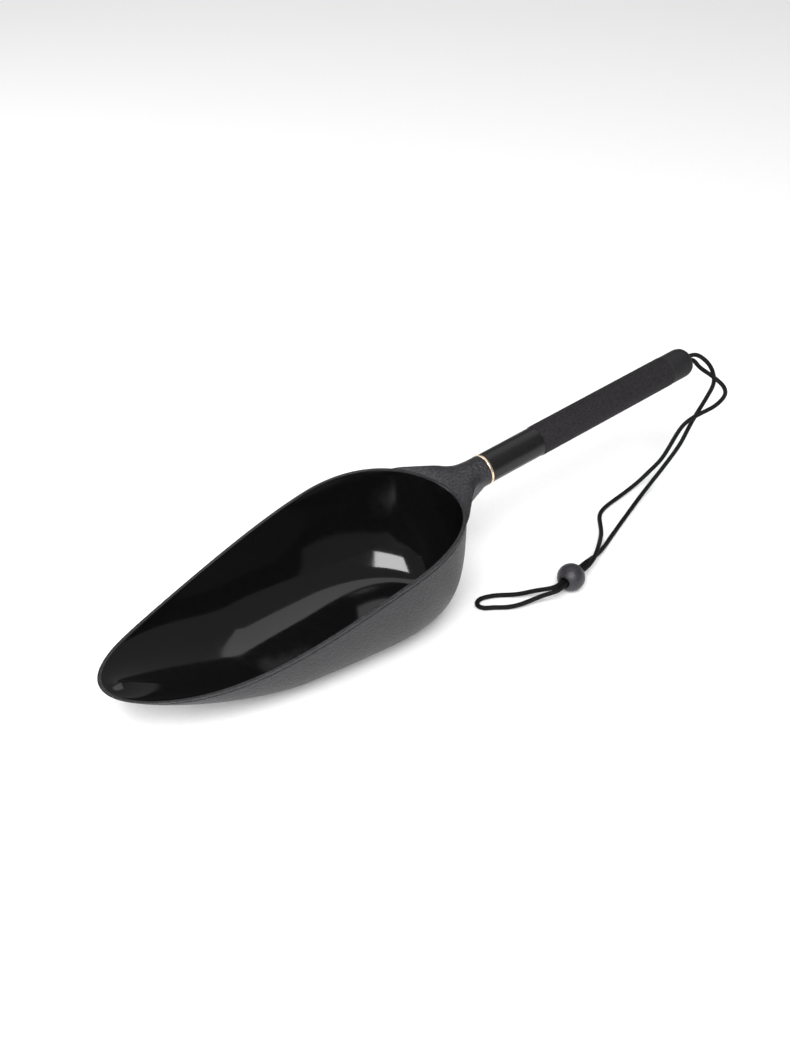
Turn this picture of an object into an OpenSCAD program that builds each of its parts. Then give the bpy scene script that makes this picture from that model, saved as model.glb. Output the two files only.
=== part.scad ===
// Hand scoop on a screw-on handle, with a drawcord lanyard.
// The scoop stands on its flat underside: z = 0 is the surface it rests on, +X runs
// towards the handle's end, and y = 0 is the plane that halves the scoop and handle.

/* [Scoop] */
// Length of the opening, from the tip to the back of the rim
bowl_length = 269; // [240:1:300]
// Width of the opening at its widest
bowl_width = 129; // [110:1:140]
// Height of the tip above the surface the scoop rests on
tip_height = 39.5; // [36:0.5:46]
// Height of the back of the rim above that surface
back_height = 82; // [76:0.5:90]
// Thickness of the moulded wall
wall = 2.8; // [2:0.2:3.4]

/* [Neck and web] */
// Height of the neck's centre at the collar ring, above the surface the scoop rests on
neck_height = 83; // [80:0.5:90]
// Radius of the round neck behind the bowl
neck_radius = 11; // [10:0.5:13]
// Thickness of the web's edge
web_edge = 3.2; // [2.4:0.2:4]
// How far the neck's threaded bush is let in
bush_depth = 18; // [14:1:20]
// Radius of the stud's thread
stud_radius = 5.95; // [4.95:0.5:5.95]

/* [Handle] */
// Rise of the handle's axis above level, in degrees
handle_rise = 6.25; // [3:0.25:9]
// Radius of the bare tube
tube_radius = 10.9; // [10:0.1:12]
// Wall of the tube
tube_wall = 1.2; // [1:0.1:2]
// Length of bare tube in front of the grip
bare_length = 47.25; // [30:0.25:60]
// Length of the grip sleeve
grip_length = 127.5; // [100:0.5:160]
// Thickness of the grip sleeve
grip_skin = 0.4; // [0.3:0.1:1]
// Length of the end cap behind the grip
cap_length = 22; // [16:1:30]
// Radius of the end cap
cap_radius = 11.1; // [10.5:0.1:12]

/* [Lanyard] */
// Diameter of the cord
cord_diameter = 3.3; // [2.5:0.1:3.5]
// Diameter of the sliding bead
bead_diameter = 20; // [18:0.5:22]
// Radius of the bead's bore, which takes both strands
bead_bore = 3.9; // [3.8:0.1:4.5]

/* [Hidden] */
$fn = 96;

// Where the collar ring's centre lies: the length of the whole thing is centred on x = 0.
ring_x = 49.8;
ring_z = neck_height;
ring_half = 1;
joint_gap = 0.05;

// The rim is close to half an ellipse in front of its widest point and to another behind it.
rim_back_x = ring_x - 32.2;
rim_back_length = 79;
rim_front_length = bowl_length - rim_back_length;
rim_mid_x = rim_back_x - rim_back_length;
tip_x = rim_back_x - bowl_length;
rim_front_fullness = 2.05;
rim_back_fullness = 2.12;
// Its height stays level near the tip, then sweeps up to the back.
sweep_from = tip_x + 33;
sweep_to = rim_back_x - 12;

// The keel dips from just behind the tip to the flat underside.
keel_from = tip_x + 14;
keel_flat = keel_from + 100;
keel_to = rim_back_x - 34;
keel_start_z = 37;
keel_curve = 1.5;
flat_cut = 0.8;
// Sections are nearly elliptical and raked at the tip, squarer and upright at the back.
tip_fullness = 2.5;
back_fullness = 3.3;
tip_rake = 0.28;
back_rake = 0;
around = 72;
down = 12;
cut_above = 115;

// Neck and web: stations along the handle's axis, measured from the ring towards the bowl.
web_from = 3;
web_to = 58;
web_stations = 22;
web_sides = 48;
web_proud = 0.4;
// It spreads from the first place on, and from the second it tucks into the bowl's wall.
flare_from = 17;
tuck_from = 38;
tuck_length = 14;
tuck = 1;
// Its rib deepens between these two places.
rib_from = 6;
rib_to = 40;
// Away from the rim its top rises by this much, half of it in the first few millimetres.
web_lift = 5.6;
web_lift_reach = 5;

bush_radius = 7;
stud_into_neck = 13;
tube_bore = tube_radius - tube_wall;
plug_length = 26;
grip_from = ring_half + joint_gap + bare_length;
grip_to = grip_from + grip_length;
cap_end = grip_to + cap_length;
cap_edge = 7;
cap_spigot = 16;
knot_chamber = 7;
knot_radius = 5.6;
cord_hole = 3.7;
knot_place = cap_end - 17;

cord_radius = cord_diameter / 2;
cord_sides = 8;
strand_offset = 1.8;
bead_place = [84, -60, 10];
bead_turn = 13.5;
bead_half = 8.6;
bead_lead = 20;
bead_tail = 14;

function clamp01(t) = min(max(t, 0), 1);
function ease(t) = let (c = clamp01(t)) c * c * (3 - 2 * c);
function mix(a, b, t) = a + (b - a) * t;
function soft_ramp(x, width) = (x + sqrt(x * x + width * width)) / 2;

// Height of the rim at a place along the scoop
function rim_z(x) = mix(tip_height, back_height, ease((x - sweep_from) / (sweep_to - sweep_from)));

// A point of the rim, moved inwards by inset; angle 0 is the tip and 180 the back
function rim_point(angle, inset) =
    let (
        c = cos(angle),
        s = sin(angle),
        front = c > 0,
        power = 2 / (front ? rim_front_fullness : rim_back_fullness),
        reach = front ? -(rim_front_length - inset) : rim_back_length - inset,
        x = rim_mid_x + reach * pow(abs(c), power),
        y = sign(s) * (bowl_width / 2 - inset) * pow(abs(s), power)
    )
    [x, y, rim_z(x)];

// Height of the keel line at a place along the scoop; the flat is cut off below z = 0
function keel_z(x) =
    let (t = clamp01((keel_flat - x) / (keel_flat - keel_from)))
    keel_start_z * pow(t, keel_curve) - flat_cut;

// A point of the bowl's surface: drop 0 is on the rim and 90 on the keel
function bowl_point(angle, drop, inset) =
    let (
        rim = rim_point(angle, inset),
        along = clamp01((rim[0] - tip_x - inset) / (bowl_length - 2 * inset)),
        fullness = mix(tip_fullness, back_fullness, along),
        out = pow(cos(drop), 2 / fullness),
        fall = pow(sin(drop), 2 / fullness),
        rake = mix(tip_rake, back_rake, along),
        reach = out * (1 - rake * fall),
        keel_x = mix(keel_from, keel_to - inset, along),
        z = mix(rim[2], keel_z(keel_x) + inset, fall)
    )
    [mix(keel_x, rim[0], reach), rim[1] * reach, z];

function drop_at(level) = 90 * pow(level / down, 1.6);

// Index of a grid point: the last level is the keel, which both sides share
function bowl_index(level, i) =
    let (k = i % around)
    level < down ? level * around + k : down * around + min(k, around - k);

// Triangles that close a ring of n points whose two halves mirror each other
function lid(n, first) = [for (i = [0:n / 2 - 1])
    let (far = (n - i) % n, far_next = n - i - 1)
    each concat(i > 0 ? [[first + i, first + far_next, first + far]] : [],
        i < n / 2 - 1 ? [[first + i, first + i + 1, first + far_next]] : [])];
function flipped(faces) = [for (f = faces) [f[2], f[1], f[0]]];

// The bowl filled up to its rim; lifted, it is the cavity that is taken out
module bowl_solid(inset, lifted) {
    angles = [for (i = [0:around - 1]) i * 360 / around];
    rings = [for (level = [0:down - 1]) for (angle = angles)
        let (p = bowl_point(angle, drop_at(level), inset))
        lifted && level == 0 ? [p[0], p[1], cut_above] : p];
    keel = [for (i = [0:around / 2]) bowl_point(angles[i], 90, inset)];
    walls = [for (level = [0:down - 1]) for (i = [0:around - 1])
        let (
            a = bowl_index(level, i),
            b = bowl_index(level, i + 1),
            c = bowl_index(level + 1, i + 1),
            d = bowl_index(level + 1, i)
        )
        each [[a, c, b], [a, d, c]]];
    polyhedron(points = concat(rings, keel), faces = concat(walls, lid(around, 0)),
        convexity = 6);
}

// Places its children on the handle's axis, s in front of (+) or behind (-) the ring
module on_axis(s) {
    translate([ring_x, 0, ring_z])
        rotate([0, -handle_rise, 0])
            translate([s, 0, 0])
                rotate([0, 90, 0])
                    children();
}

// Half the width of the back part of the rim, at a place along the scoop
function rim_half(x) = bowl_width / 2 * pow(
    1 - pow(clamp01((x - rim_mid_x) / rim_back_length), rim_back_fullness),
    1 / rim_back_fullness);

// Height of the web's top at the rim above the handle's axis, at distance s from the ring
function web_top(s) =
    (rim_z(ring_x - s * cos(handle_rise)) + web_proud - ring_z + s * sin(handle_rise))
    / cos(handle_rise);

// How far the web's top has risen at a place outside the rim
function web_rise(x, y) =
    let (
        along = pow(abs(x - rim_mid_x) / rim_back_length, rim_back_fullness),
        across = pow(abs(y) * 2 / bowl_width, rim_back_fullness),
        outside = pow(along + across, 1 / rim_back_fullness) - 1
    )
    web_lift * (1 - exp(-max(outside, 0) * rim_back_length / web_lift_reach));

// Outline of the neck, web and rib across the handle's axis, at distance s from the ring:
// a circle at the neck, which spreads into a dished web with a rib below it
function web_section(s) =
    let (
        x = ring_x - s * cos(handle_rise),
        spread = ease((s - web_from) / 24),
        flare = neck_radius + soft_ramp(s - flare_from, 6) * ease((s - web_from) / 10),
        half = mix(flare, rim_half(x) - tuck, ease((s - tuck_from) / tuck_length)),
        skin = web_edge / 2 * ease((s - web_from) / 14),
        edge_z = (web_top(s) - web_edge / 2) * spread,
        crown = neck_radius * (1 - ease((s - web_from) / 30)),
        crown_power = 1 + 1.5 * ease((s - web_from) / 20),
        rib = 0.95 * soft_ramp(min(s, rib_to) - rib_from, 2) * ease((s - web_from) / 6),
        low = neck_radius + edge_z - skin + web_rise(x, 0) * spread + rib,
        low_power = 1 + 0.35 * (half - neck_radius)
    )
    [for (i = [0:web_sides - 1])
        let (
            angle = i * 360 / web_sides,
            y = half * cos(angle),
            up = abs(sin(angle)),
            bulge = sin(angle) >= 0 ? crown * pow(up, crown_power) : low * pow(up, low_power)
        )
        [-s, y, edge_z + web_rise(x, y) * spread
            + sign(sin(angle)) * (skin * pow(up, 0.6) + bulge)]];

// Neck, web and rib in one, from the collar ring to inside the bowl's back wall
module web() {
    stations = concat([ring_half + joint_gap],
        [for (k = [1:web_stations]) mix(web_from, web_to, (k - 1) / (web_stations - 1))]);
    points = [for (s = stations) each web_section(s)];
    last = web_stations * web_sides;
    sides = [for (k = [0:web_stations - 1]) for (i = [0:web_sides - 1])
        let (
            j = (i + 1) % web_sides,
            a = k * web_sides + i,
            b = k * web_sides + j,
            c = (k + 1) * web_sides + j,
            d = (k + 1) * web_sides + i
        )
        each [[a, b, c], [a, c, d]]];
    ends = concat(flipped(lid(web_sides, 0)), lid(web_sides, last));
    translate([ring_x, 0, ring_z])
        rotate([0, -handle_rise, 0])
            polyhedron(points = points, faces = concat(sides, ends), convexity = 6);
}

module scoop() {
    neck_face = -(ring_half + joint_gap);
    color([0.20, 0.19, 0.20])
    difference() {
        union() {
            bowl_solid(0, false);
            web();
        }
        bowl_solid(wall, true);
        on_axis(neck_face - bush_depth)
            cylinder(h = bush_depth + 1, r = bush_radius);
        translate([tip_x, -bowl_width / 2, -2 * flat_cut])
            cube([bowl_length, bowl_width, 2 * flat_cut]);
    }
}

// Brass bush moulded into the neck, threaded for the stud
module insert_bush() {
    neck_face = -(ring_half + joint_gap);
    color([0.80, 0.63, 0.34])
    on_axis(neck_face - bush_depth)
    difference() {
        cylinder(h = bush_depth, r = bush_radius);
        translate([0, 0, 2])
            cylinder(h = bush_depth, r = stud_radius + 0.05);
    }
}

// Brass collar ring between the neck and the tube
module joint_ring() {
    color([0.90, 0.77, 0.58])
    on_axis(-ring_half)
    difference() {
        cylinder(h = 2 * ring_half, r = neck_radius);
        translate([0, 0, -1])
            cylinder(h = 2 * ring_half + 2, r = stud_radius + 0.25);
    }
}

module stud() {
    color([0.70, 0.71, 0.73])
    on_axis(-stud_into_neck)
        cylinder(h = stud_into_neck + ring_half + joint_gap + plug_length - 4, r = stud_radius);
}

// Plug bonded in the front of the tube, which holds the stud
module front_plug() {
    color([0.12, 0.12, 0.12])
    on_axis(ring_half + joint_gap)
    difference() {
        cylinder(h = plug_length, r = tube_bore);
        translate([0, 0, -1])
            cylinder(h = plug_length - 3, r = stud_radius);
    }
}

module handle_tube() {
    start = ring_half + joint_gap;
    color([0.15, 0.14, 0.15])
    on_axis(start)
    difference() {
        cylinder(h = grip_to - start, r = tube_radius);
        translate([0, 0, -1])
            cylinder(h = grip_to - start + 2, r = tube_bore);
    }
}

module grip_sleeve() {
    color([0.19, 0.18, 0.19])
    on_axis(grip_from)
    difference() {
        cylinder(h = grip_length, r = tube_radius + grip_skin);
        translate([0, 0, -1])
            cylinder(h = grip_length + 2, r = tube_radius);
    }
}

// Domed cap with a spigot in the tube, a chamber for the knot and the cord's hole
module end_cap() {
    color([0.15, 0.14, 0.15])
    on_axis(grip_to)
    difference() {
        union() {
            translate([0, 0, -cap_spigot])
                cylinder(h = cap_spigot + 1, r = tube_bore);
            cylinder(h = cap_length - cap_edge, r = cap_radius);
            rotate_extrude()
                intersection() {
                    square([cap_radius, cap_length]);
                    union() {
                        square([cap_radius - cap_edge, cap_length]);
                        translate([cap_radius - cap_edge, cap_length - cap_edge])
                            circle(r = cap_edge);
                    }
                }
        }
        translate([0, 0, -cap_spigot - 1])
            cylinder(h = cap_spigot + 1 + cap_length - 9, r = knot_chamber);
        cylinder(h = cap_length + 1, r = cord_hole);
    }
}

// Stopper knot that holds both cord ends inside the cap
module cord_knot() {
    color([0.08, 0.08, 0.08])
    on_axis(knot_place)
        sphere(r = knot_radius);
}

// Route of the cord from the cap to the bead, round the wrist loop and back.
// The strands leave the cap one above the other and lie side by side through the bead.
function axis_place(s, lift) = [ring_x + s * cos(handle_rise) - lift * sin(handle_rise), 0,
    ring_z + s * sin(handle_rise) + lift * cos(handle_rise)];
function bead_line(d, side) = bead_place
    + [d * cos(bead_turn) - side * sin(bead_turn), d * sin(bead_turn) + side * cos(bead_turn), 0];

leg_out = [[255.5, -2.5, 107.2], [258.5, -8.5, 105], [260.5, -13.5, 100.5], [261.5, -16.5, 95],
    [261.5, -18, 88], [259.5, -17, 80], [255.5, -15.5, 71], [251.4, -13, 60.1],
    [246.9, -11.5, 49.6], [242, -10.5, 39], [234.5, -9, 28], [225, -7.5, 17], [208, -10, 8],
    [186, -17.5, 3.5], [162.5, -27.5, 2], [144, -36.5, 2.7], [129.5, -44, 4.8], [117, -49.2, 7.2]];
leg_back = [[110, -55, 11.2], [119, -49.6, 12], [128.5, -42, 9.5], [139.5, -32.5, 5],
    [148, -24.5, 2.5], [155.5, -15.5, 2], [163.5, -7, 2], [173, -2.5, 2], [188.5, 1, 2],
    [203.5, 2.5, 4], [215, 2.5, 8], [223, 1, 14], [229.5, -2, 22], [234.5, -4.5, 32],
    [240, -6, 43], [243, -9.2, 52.6], [246.2, -15.6, 62], [252.2, -19.6, 66.5], [258.6, -24.5, 72],
    [262.5, -27.5, 78], [262.5, -29.5, 84], [260.5, -28.5, 90], [258, -23, 94.5], [257, -16, 96.5],
    [256.5, -9.5, 97.7], [256.5, -4.5, 99.2], [255.3, -1.2, 101.8]];
loop = [[65.5, -65.8, 9.9], [59.5, -63.9, 9], [52.5, -60.3, 6.5], [44, -57.5, 4.5],
    [36.5, -54.3, 3], [29.5, -49.4, 2], [23.7, -45.3, 2], [19, -42.3, 2], [17.2, -38.4, 2],
    [19, -34.7, 2], [23.4, -33, 2], [29, -34, 2], [35, -36.5, 2], [42, -41, 2],
    [48.3, -47.3, 4], [55.3, -53.5, 7], [61.5, -58.9, 9.1], [65.8, -61.3, 9.9]];

route = concat(
    [for (s = [knot_place, knot_place + 9, cap_end]) axis_place(s, strand_offset)],
    leg_out,
    [for (k = [0:3]) bead_line(mix(bead_lead, -bead_tail, k / 3), strand_offset)],
    [for (i = [len(loop) - 1:-1:0]) loop[i]],
    [for (k = [0:3]) bead_line(mix(-bead_tail, bead_lead, k / 3), -strand_offset)],
    leg_back,
    [for (s = [cap_end, knot_place + 9, knot_place]) axis_place(s, -strand_offset)]);

function unit(v) = v / norm(v);
function heading(i) = unit(route[min(i + 1, len(route) - 1)] - route[max(i - 1, 0)]);
// Sideways direction carried along the route without twist
function turned(side, along) = unit(side - (side * along) * along);
function sides_from(i, side) = i >= len(route) ? []
    : let (next = turned(side, heading(i))) concat([next], sides_from(i + 1, next));

module lanyard_cord() {
    side = sides_from(0, [0, 1, 0]);
    points = [for (i = [0:len(route) - 1]) for (k = [0:cord_sides - 1])
        let (angle = (k + 0.5) * 360 / cord_sides, up = cross(heading(i), side[i]))
        route[i] + cord_radius * (cos(angle) * side[i] + sin(angle) * up)];
    last = (len(route) - 1) * cord_sides;
    walls = [for (i = [0:len(route) - 2]) for (k = [0:cord_sides - 1])
        let (
            j = (k + 1) % cord_sides,
            a = i * cord_sides + k,
            b = i * cord_sides + j,
            c = (i + 1) * cord_sides + j,
            d = (i + 1) * cord_sides + k
        )
        each [[a, c, b], [a, d, c]]];
    ends = [[for (k = [0:cord_sides - 1]) k],
        [for (k = [cord_sides - 1:-1:0]) last + k]];
    color([0.08, 0.08, 0.08])
        polyhedron(points = points, faces = concat(walls, ends), convexity = 10);
}

// Drilled ball that slides on both strands
module slider_bead() {
    color([0.29, 0.29, 0.30])
    translate(bead_place)
    rotate([0, 0, bead_turn])
    rotate([0, 90, 0])
    difference() {
        intersection() {
            sphere(d = bead_diameter);
            translate([0, 0, -bead_half])
                cylinder(h = 2 * bead_half, r = bead_diameter);
        }
        translate([0, 0, -bead_half - 1])
            cylinder(h = 2 * bead_half + 2, r = bead_bore);
    }
}

scoop();
insert_bush();
joint_ring();
stud();
front_plug();
handle_tube();
grip_sleeve();
end_cap();
cord_knot();
lanyard_cord();
slider_bead();
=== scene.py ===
"""A hand scoop on a screw-on handle, with a drawcord lanyard.

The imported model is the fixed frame: +X runs towards the handle's end, +Z is up, and the
scoop stands on z = 0. Sizes are in millimetres in the classes, and each mesh is in metres.
"""

import logging
import math
from dataclasses import dataclass, field
from enum import Enum

import bmesh
import bpy
import numpy as np
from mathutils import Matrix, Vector


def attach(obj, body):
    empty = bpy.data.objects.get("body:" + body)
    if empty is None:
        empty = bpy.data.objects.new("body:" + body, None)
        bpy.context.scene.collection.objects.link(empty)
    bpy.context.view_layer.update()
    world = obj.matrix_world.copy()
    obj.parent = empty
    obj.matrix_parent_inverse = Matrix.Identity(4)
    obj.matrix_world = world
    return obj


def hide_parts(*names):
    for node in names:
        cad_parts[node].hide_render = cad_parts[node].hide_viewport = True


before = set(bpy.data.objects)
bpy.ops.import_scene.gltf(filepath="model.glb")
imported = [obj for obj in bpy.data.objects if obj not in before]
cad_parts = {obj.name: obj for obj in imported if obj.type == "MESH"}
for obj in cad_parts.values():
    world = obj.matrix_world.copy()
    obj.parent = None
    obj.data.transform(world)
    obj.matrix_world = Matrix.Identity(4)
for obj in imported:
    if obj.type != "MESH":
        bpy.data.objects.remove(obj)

MM = 0.001
TURN = 2 * math.pi
# Edges that bend more than this stay sharp
SHARP_DEG = 35.0
# A rounded corner takes at most this share of each side that it joins
CORNER_SHARE = 0.49
# A corner with a radius over this, in millimetres, gets four times as many points
BIG_CORNER = 2.0
log = logging.getLogger("scoop")
Point = tuple[float, float, float]


class Body(Enum):
    """The bodies that pieces ride on."""

    HANDLE = "handle"
    COLLAR = "collar"
    HEAD = "head"
    SLIDER = "slider"


class Skin(Enum):
    """Which side of the moulding a face is on, as its material's index."""

    OUTSIDE = 0
    INSIDE = 1


# Small sums


def ease(t: float) -> float:
    """Goes smoothly from 0 to 1 as t does, and stays there on either side."""
    t = min(max(t, 0.0), 1.0)
    return t * t * (3 - 2 * t)


def mix(a: float, b: float, t: float) -> float:
    """The value t of the way from a to b."""
    return a + (b - a) * t


def soft_ramp(x: float, width: float) -> float:
    """x where it is well above 0, and 0 where it is well below, with a bend width wide."""
    return (x + math.sqrt(x * x + width * width)) / 2


def linear(colour: str) -> tuple[float, float, float, float]:
    """Turns an sRGB hex colour into the linear one that a shader takes.

    Args:
        colour: six hex digits, with or without a # in front.

    Returns:
        Red, green, blue and an alpha of 1.
    """
    digits = colour.lstrip("#")
    parts = [int(digits[i : i + 2], 16) / 255 for i in (0, 2, 4)]
    made = [c / 12.92 if c <= 0.04045 else ((c + 0.055) / 1.055) ** 2.4 for c in parts]
    return (made[0], made[1], made[2], 1.0)


# Materials


def add_node(
    tree: bpy.types.NodeTree,
    kind: str,
    settings: dict | None = None,
    links: dict | None = None,
) -> bpy.types.Node:
    """Adds one shader node with its settings and links.

    Args:
        tree: the node tree that gets the node.
        kind: the node's type, such as ShaderNodeBump.
        settings: values by the name of a property or, if it has none so named, of an input.
        links: output sockets by the name or number of the input that each one feeds.

    Returns:
        The new node.
    """
    node = tree.nodes.new(kind)
    for key, value in (settings or {}).items():
        if isinstance(key, str) and hasattr(node, key):
            setattr(node, key, value)
        else:
            node.inputs[key].default_value = value
    for key, source in (links or {}).items():
        tree.links.new(source, node.inputs[key])
    return node


@dataclass(frozen=True)
class Finish:
    """A surface as it was made: its colour, how rough it is and its grain."""

    name: str
    colour: str
    shade: str
    roughness: float
    metallic: float = 0.0
    ior: float = 1.5
    grain_mm: float = 1.0
    grain_depth_mm: float = 0.0
    roughness_spread: float = 0.05
    # How much of the plain shine is left, as 0.5 for all of it: deep pores swallow the rest.
    shine: float = 0.5

    def pattern(self, tree: bpy.types.NodeTree) -> bpy.types.NodeSocket:
        """Adds the grain, whose scale is one cell for each grain_mm.

        Args:
            tree: the material's node tree.

        Returns:
            The grain, as a value from 0 to 1.
        """
        place = add_node(tree, "ShaderNodeTexCoord")
        noise = add_node(
            tree,
            "ShaderNodeTexNoise",
            {"Scale": 1 / (self.grain_mm * MM), "Detail": 3.0, "Roughness": 0.6},
            {"Vector": place.outputs["Object"]},
        )
        # Most of the noise lies between these two, so that the grains come out crisp
        crisp = add_node(
            tree,
            "ShaderNodeMapRange",
            {"From Min": 0.32, "From Max": 0.68},
            {"Value": noise.outputs["Fac"]},
        )
        return crisp.outputs["Result"]

    def shader(self, tree: bpy.types.NodeTree) -> bpy.types.Node:
        """Makes the shader: colour, roughness and bump all follow the grain.

        Args:
            tree: the material's node tree.

        Returns:
            The shader node.
        """
        grain = self.pattern(tree)
        # A Mix node's colours are its inputs 6 and 7 and its output 2
        tint = add_node(
            tree,
            "ShaderNodeMix",
            {"data_type": "RGBA", 6: linear(self.shade), 7: linear(self.colour)},
            {0: grain},
        )
        rough = add_node(
            tree,
            "ShaderNodeMapRange",
            {
                "To Min": self.roughness - self.roughness_spread,
                "To Max": self.roughness + self.roughness_spread,
            },
            {"Value": grain},
        )
        links = {"Base Color": tint.outputs[2], "Roughness": rough.outputs["Result"]}
        if self.grain_depth_mm:
            bump = add_node(
                tree,
                "ShaderNodeBump",
                {"Strength": 1.0, "Distance": self.grain_depth_mm * MM},
                {"Height": grain},
            )
            links["Normal"] = bump.outputs["Normal"]
        settings = {"Metallic": self.metallic, "Specular IOR Level": self.shine}
        if not self.metallic:
            settings["IOR"] = self.ior
        return add_node(tree, "ShaderNodeBsdfPrincipled", settings, links)

    def material(self) -> bpy.types.Material:
        """Builds the material, or finds it if it is already built.

        Returns:
            The material.
        """
        known = bpy.data.materials.get(self.name)
        if known:
            return known
        made = bpy.data.materials.new(self.name)
        made.use_nodes = True
        tree = made.node_tree
        tree.nodes.clear()
        shader = self.shader(tree)
        add_node(tree, "ShaderNodeOutputMaterial", links={"Surface": shader.outputs[0]})
        return made


@dataclass(frozen=True)
class BraidFinish(Finish):
    """Braided nylon: fine threads that slant across the cord, on the cord's own map."""

    thread_mm: float = 0.3927
    thread_wobble: float = 1.5

    def pattern(self, tree: bpy.types.NodeTree) -> bpy.types.NodeSocket:
        """Adds the threads, from a map with mm along the cord and about mm round it.

        Args:
            tree: the material's node tree.

        Returns:
            The threads, as a value from 0 to 1.
        """
        place = add_node(tree, "ShaderNodeUVMap", {"uv_map": "braid"})
        wave = add_node(
            tree,
            "ShaderNodeTexWave",
            {
                "wave_type": "BANDS",
                "bands_direction": "DIAGONAL",
                # At scale 1 a Wave texture has ten radians to each unit of the map
                "Scale": TURN / (10 * self.thread_mm),
                "Distortion": self.thread_wobble,
                "Detail": 2.0,
            },
            {"Vector": place.outputs["UV"]},
        )
        return wave.outputs["Fac"]


# ABS moulded against spark-eroded steel: a satin black-grey skin with a fine leathery grain.
# The real grain is about 0.5 mm, and it is drawn four times as coarse so that it shows.
TEXTURED_ABS = Finish(
    "abs_spark_textured",
    "#262428",
    "#0c0b0d",
    0.46,
    grain_mm=2.0,
    grain_depth_mm=0.45,
)
# The same ABS against a polished core: near black, and it mirrors the lights with crisp edges.
POLISHED_ABS = Finish(
    "abs_polished_core",
    "#0c0b0c",
    "#0a090a",
    0.10,
    ior=1.54,
    grain_mm=6.0,
    roughness_spread=0.02,
)
# Black anodised aluminium, drawn and dyed: a hard satin black with long soft highlights.
ANODISED_ALUMINIUM = Finish(
    "aluminium_black_anodised",
    "#171517",
    "#100f10",
    0.32,
    metallic=0.25,
    grain_mm=0.9,
    grain_depth_mm=0.006,
)
# Foamed rubber skin on the grip: dull and sandy to the eye. The real grain is about
# 0.5 mm, and it is drawn nearly three times as coarse so that it shows.
GRAINED_RUBBER = Finish(
    "rubber_grained",
    "#2a272b",
    "#0b0a0b",
    0.75,
    grain_mm=1.4,
    grain_depth_mm=0.30,
    roughness_spread=0.10,
    shine=0.22,
)
# Moulded rubber end cap: a closer, darker and smoother grain than the grip's.
CAP_RUBBER = Finish(
    "rubber_moulded_cap",
    "#1f1d20",
    "#100f10",
    0.55,
    grain_mm=1.1,
    grain_depth_mm=0.10,
    shine=0.3,
)
# Polished brass with a thin lacquer: pale gold, with a nearly white highlight.
POLISHED_BRASS = Finish(
    "brass_polished", "#fdebd2", "#f7dcb8", 0.32, metallic=1.0, grain_mm=1.5
)
# Turned brass of the threaded bush: warmer and duller than the collar.
TURNED_BRASS = Finish(
    "brass_turned", "#cfa75f", "#b98f4a", 0.35, metallic=1.0, grain_mm=0.5
)
# Bright zinc on a steel stud: a cool grey with a slight cloud in it.
ZINC_STEEL = Finish(
    "steel_zinc_plated", "#c6c9cc", "#a9adb2", 0.30, metallic=1.0, grain_mm=1.2
)
# Nylon plug, moulded: plain dull black.
MOULDED_NYLON = Finish("nylon_moulded", "#1b1b1c", "#141415", 0.55, grain_mm=1.0)
# Round nylon braid: black yarns that shine a little along each crossing.
NYLON_BRAID = BraidFinish(
    "nylon_round_braid",
    "#0f0e0f",
    "#030303",
    0.62,
    ior=1.53,
    grain_depth_mm=0.05,
    roughness_spread=0.12,
    shine=0.15,
)
# Moulded rubber bead: dark grey and softly shining, with a light tumbled grain.
BEAD_RUBBER = Finish(
    "rubber_tumbled_bead",
    "#323035",
    "#1f1d21",
    0.42,
    grain_mm=1.2,
    grain_depth_mm=0.10,
    shine=0.4,
)
# Seamless paper under the object: pale and quite dull.
STUDIO_PAPER = Finish("paper_seamless", "#fbfbfb", "#f7f7f7", 0.85, grain_mm=3.0)

# The two sides of the moulded head, in the order of Skin
HEAD_FINISHES = [TEXTURED_ABS, POLISHED_ABS]


# Meshes


def mesh_piece(
    name: str,
    points: list[Point],
    faces: list[tuple[int, ...]],
    finishes: list[Finish],
    skin: Skin = Skin.OUTSIDE,
    sharp_deg: float = SHARP_DEG,
) -> bpy.types.Object:
    """Makes an object from points in millimetres.

    Args:
        name: the piece's name.
        points: its vertices, in the row frame, in millimetres.
        faces: its faces, as indices of points.
        finishes: the finishes of its material slots, in order.
        skin: the slot that its faces start with.
        sharp_deg: edges that bend more than this stay sharp.

    Returns:
        The object, shaded smooth between its sharp edges, with its faces turned outwards.
    """
    mesh = bpy.data.meshes.new(name)
    mesh.from_pydata([tuple(c * MM for c in p) for p in points], [], faces)
    work = bmesh.new()
    work.from_mesh(mesh)
    bmesh.ops.recalc_face_normals(work, faces=work.faces)
    for face in work.faces:
        face.smooth = True
        face.material_index = skin.value
    work.to_mesh(mesh)
    work.free()
    mesh.set_sharp_from_angle(angle=math.radians(sharp_deg))
    for finish in finishes:
        mesh.materials.append(finish.material())
    made = bpy.data.objects.new(name, mesh)
    bpy.context.scene.collection.objects.link(made)
    return made


def ring_faces(rings: int, sides: int, closed: bool) -> list[tuple[int, ...]]:
    """Quads between successive rings of points.

    Args:
        rings: how many rings there are.
        sides: how many points each one has.
        closed: whether the last ring joins the first, as in a hollow turned part.

    Returns:
        The quads, as indices.
    """
    made = []
    for k in range(rings if closed else rings - 1):
        for i in range(sides):
            j, n = (i + 1) % sides, (k + 1) % rings
            made.append((k * sides + i, k * sides + j, n * sides + j, n * sides + i))
    return made


def mirror_lid(count: int, first: int) -> list[tuple[int, ...]]:
    """Strips that close a ring whose two halves mirror each other across its first point.

    Args:
        count: how many points the ring has.
        first: the index of its first point.

    Returns:
        The faces, as indices.
    """
    made = [(first, first + 1, first + count - 1)]
    for i in range(1, count // 2 - 1):
        made.append(
            (first + i, first + i + 1, first + count - i - 1, first + count - i)
        )
    half = count // 2
    made.append((first + half - 1, first + half, first + half + 1))
    return made


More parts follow.
